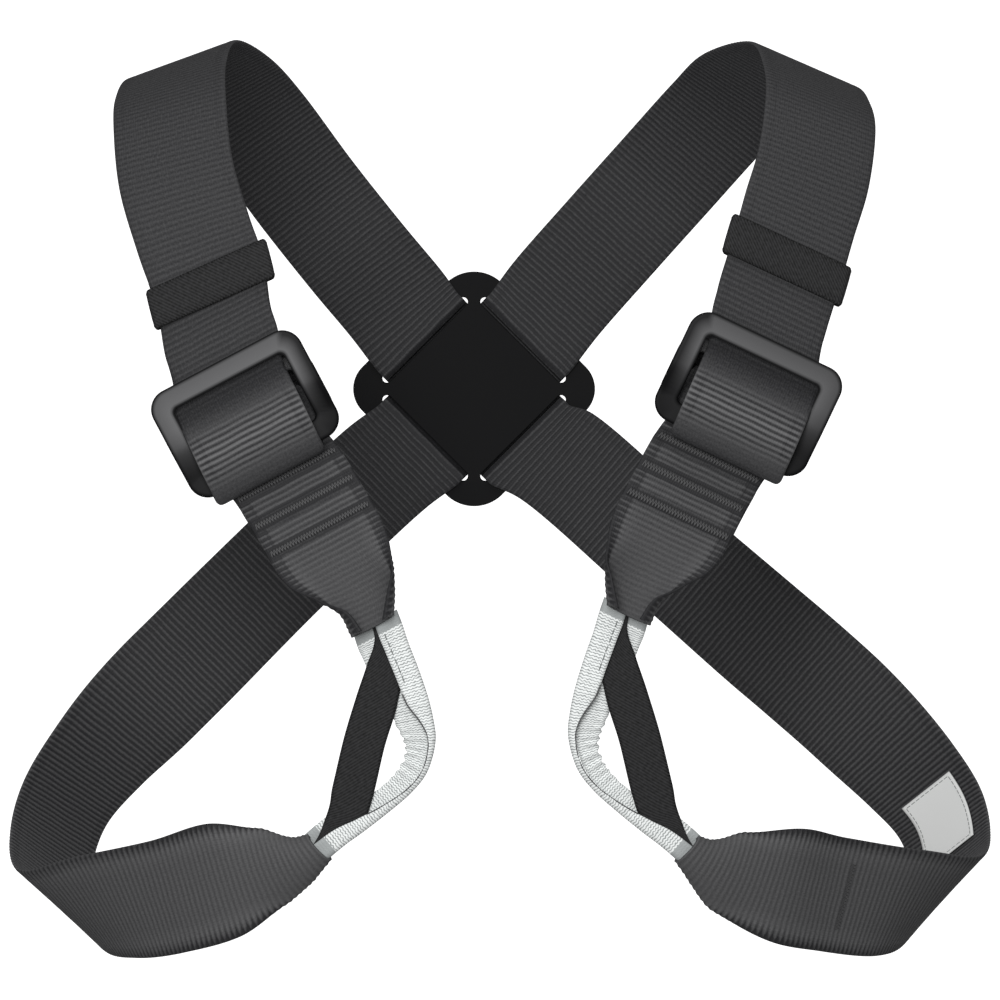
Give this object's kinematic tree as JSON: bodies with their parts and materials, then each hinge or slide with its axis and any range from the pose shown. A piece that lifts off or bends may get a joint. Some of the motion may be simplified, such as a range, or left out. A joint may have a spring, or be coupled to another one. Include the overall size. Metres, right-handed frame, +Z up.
{
  "type": "climbing chest harness",
  "caption": "Chest harness of wide webbing crossed at a back plate, with a two-frame buckle, sewn tab and folded tie-in loop on each side of the chest.",
  "frame": {"origin": "midway between the undersides of the two shoulder straps, where the harness sits on the wearer's shoulders", "axes": "+Z up, +X to the right as seen by someone who faces the wearer's chest, +Y towards the wearer's back"},
  "size_m": [0.3859, 0.1719, 0.3584],
  "materials": {
    "webbing": "ribbed woven polyamide",
    "elastic": "woven elastic tape",
    "plate": "smooth moulded sheet",
    "frame": "satin dark anodised",
    "loop": "woven pale tape",
    "label": "smooth woven label"
  },
  "bodies": {
    "root": {"back_plate": "plate", "strap_left_shoulder": "webbing", "strap_right_shoulder": "webbing", "chest_tab_left": "webbing", "chest_tab_right": "webbing", "buckle_frame_left": "frame", "buckle_frame_right": "frame", "inner_frame_left": "frame", "inner_frame_right": "frame", "keeper_left": "elastic", "keeper_right": "elastic", "tie_in_loop_left": "loop", "tie_in_loop_right": "loop", "loop_band_left": "elastic", "loop_band_right": "elastic", "care_label": "label"}
  },
  "joints": []
}
